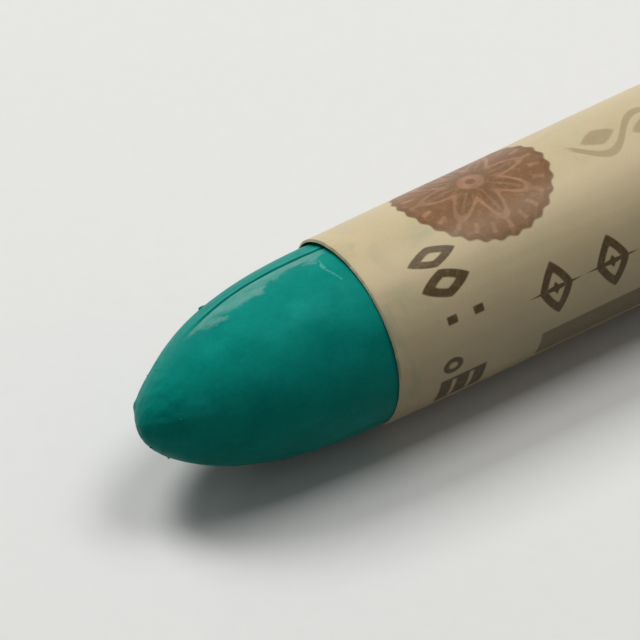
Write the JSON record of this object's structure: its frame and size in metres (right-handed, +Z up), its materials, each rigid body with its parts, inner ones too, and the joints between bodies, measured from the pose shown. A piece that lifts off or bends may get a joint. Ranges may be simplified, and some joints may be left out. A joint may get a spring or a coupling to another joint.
{
  "type": "oil pastel",
  "caption": "Round oil pastel stick with a blunt nose and a flat tail, in a loose glued paper sleeve that slides along it.",
  "frame": {"origin": "on the ground below the middle of the stick, under the paper sleeve that the pastel lies on", "axes": "+X along the stick from its nose to its flat tail, +Z up, the nose at -X"},
  "size_m": [0.07, 0.0106, 0.0104],
  "materials": {
    "pastel": "waxy, slightly glossy where it is rubbed",
    "label_paper": "smooth coated paper",
    "glue": "dried glue film"
  },
  "bodies": {
    "stick": {"pastel_stick": "pastel"},
    "sleeve": {"paper_label": "label_paper", "glue_line": "glue"}
  },
  "joints": [
    {"name": "label_slide", "type": "slide", "parent": "stick", "child": "sleeve", "axis": [1, 0, 0], "range_m": [-0.013, 0.058]}
  ]
}
